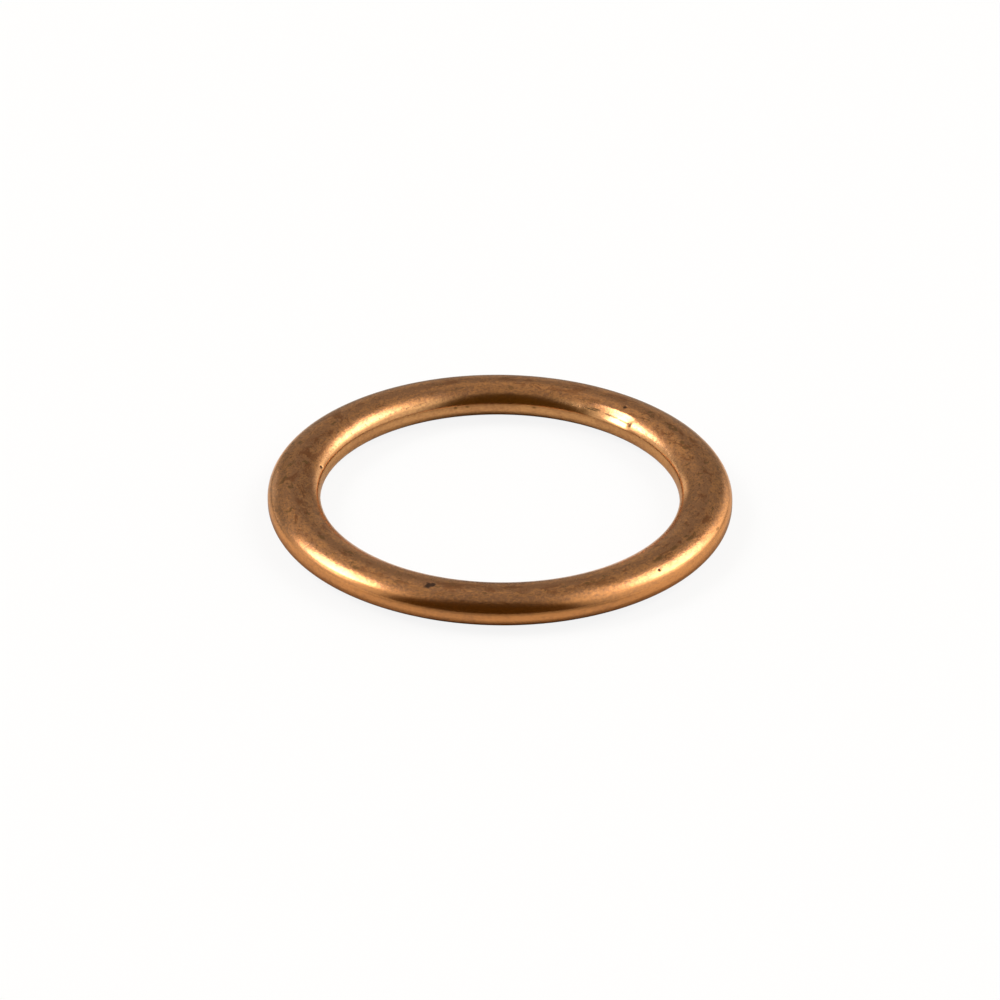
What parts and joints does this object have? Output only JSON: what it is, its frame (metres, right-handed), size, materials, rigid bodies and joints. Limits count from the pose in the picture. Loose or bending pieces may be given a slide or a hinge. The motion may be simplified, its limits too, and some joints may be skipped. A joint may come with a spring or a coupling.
{
  "type": "copper crush washer",
  "caption": "Hollow ring of rolled copper sheet with a flattened round section, crushed between a screw head and its seat to seal the joint.",
  "frame": {"origin": "centre of the ring at its lower seat, where it rests", "axes": "+Z along the ring's axis, up through the bore; the ring is round, so X and Y are free"},
  "size_m": [0.026, 0.026, 0.002],
  "materials": {
    "copper": "bright rolled copper with a satin tarnish, fine pits and scuffs"
  },
  "bodies": {
    "root": {"crush_washer": "copper"}
  },
  "joints": []
}
